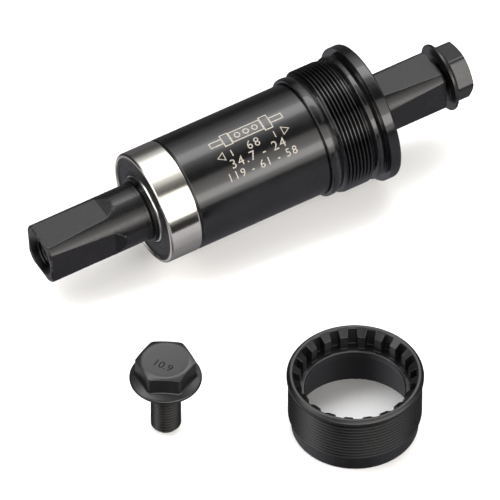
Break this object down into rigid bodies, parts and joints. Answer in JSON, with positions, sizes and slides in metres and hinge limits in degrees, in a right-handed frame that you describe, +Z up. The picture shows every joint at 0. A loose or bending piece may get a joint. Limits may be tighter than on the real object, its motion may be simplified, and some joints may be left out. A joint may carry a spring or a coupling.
{
  "type": "bottom bracket",
  "caption": "Square taper cartridge bottom bracket with its drive cup and a fitted flanged crank bolt, and its loose left cup and left crank bolt standing beside it.",
  "frame": {"origin": "on the surface that the set stands on, in the middle of the whole set's footprint", "axes": "+X along the spindle as seen from above, towards the drive side; +Y from the loose cup towards the cartridge; +Z up. The spindle leans up towards the drive side by 3.13 degrees, because it lies on the flange and the left bearing"},
  "size_m": [0.131, 0.1182, 0.0381],
  "materials": {
    "black_oxide": "black oxide on forged and turned steel, satin, with fine turning and milling marks",
    "coated_tube": "glossy black electrophoretic coat on a turned steel tube, with tan laser marks",
    "coated_cup": "glossy black coat on a turned steel cup, rubbed along the thread's crests",
    "matte_cup": "matte black coat on a turned steel cup, rubbed along its edges",
    "bolt_black": "black phosphate on forged steel, satin grey where light falls on it",
    "bearing_steel": "ground and polished bearing steel with fine rings round the outside",
    "ball_steel": "lapped bearing balls",
    "cage_brass": "pressed and greased cage strip",
    "seal_rubber": "moulded nitrile rubber, matte",
    "dark_plastic": "moulded nylon, fine matte grain",
    "spring_steel": "oiled dark spring steel"
  },
  "bodies": {
    "housing": {"cartridge_tube": "coated_tube", "drive_cup": "coated_cup", "drive_dust_cover": "dark_plastic", "left_outer_race": "bearing_steel", "drive_outer_race": "bearing_steel", "left_outer_seal": "seal_rubber", "left_inner_seal": "seal_rubber", "drive_outer_seal": "seal_rubber", "drive_inner_seal": "seal_rubber"},
    "spindle": {"spindle": "black_oxide", "left_inner_race": "bearing_steel", "drive_inner_race": "bearing_steel", "left_snap_ring": "spring_steel", "drive_snap_ring": "spring_steel"},
    "left_ball_set": {"left_balls": "ball_steel", "left_ball_cage": "cage_brass"},
    "drive_ball_set": {"drive_balls": "ball_steel", "drive_ball_cage": "cage_brass"},
    "drive_bolt": {"drive_crank_bolt": "bolt_black"},
    "left_bolt": {"left_crank_bolt": "bolt_black"},
    "left_cup": {"left_cup": "matte_cup"}
  },
  "joints": [
    {"name": "spindle_spin", "type": "hinge", "parent": "housing", "child": "spindle", "pos_m": [-0.00072, 0.04007, 0.0171], "axis": [0.9985, 0, 0.0546], "continuous": true},
    {"name": "left_ball_orbit", "type": "hinge", "parent": "housing", "child": "left_ball_set", "pos_m": [-0.02613, 0.04007, 0.01571], "axis": [0.9985, 0, 0.0546], "continuous": true},
    {"name": "drive_ball_orbit", "type": "hinge", "parent": "housing", "child": "drive_ball_set", "pos_m": [0.02469, 0.04007, 0.01849], "axis": [0.9985, 0, 0.0546], "continuous": true},
    {"name": "drive_bolt_travel", "type": "slide", "parent": "spindle", "child": "drive_bolt", "axis": [0.9985, 0, 0.0546], "range_m": [0, 0.025]},
    {"name": "left_bolt_lift", "type": "slide", "parent": "housing", "child": "left_bolt", "axis": [0, 0, 1], "range_m": [0, 0.04]},
    {"name": "left_cup_lift", "type": "slide", "parent": "housing", "child": "left_cup", "axis": [0, 0, 1], "range_m": [0, 0.04]}
  ],
  "couplings": [
    {"joint": "left_ball_orbit", "follows": "spindle_spin", "ratio": 0.41667},
    {"joint": "drive_ball_orbit", "follows": "spindle_spin", "ratio": 0.41667}
  ]
}
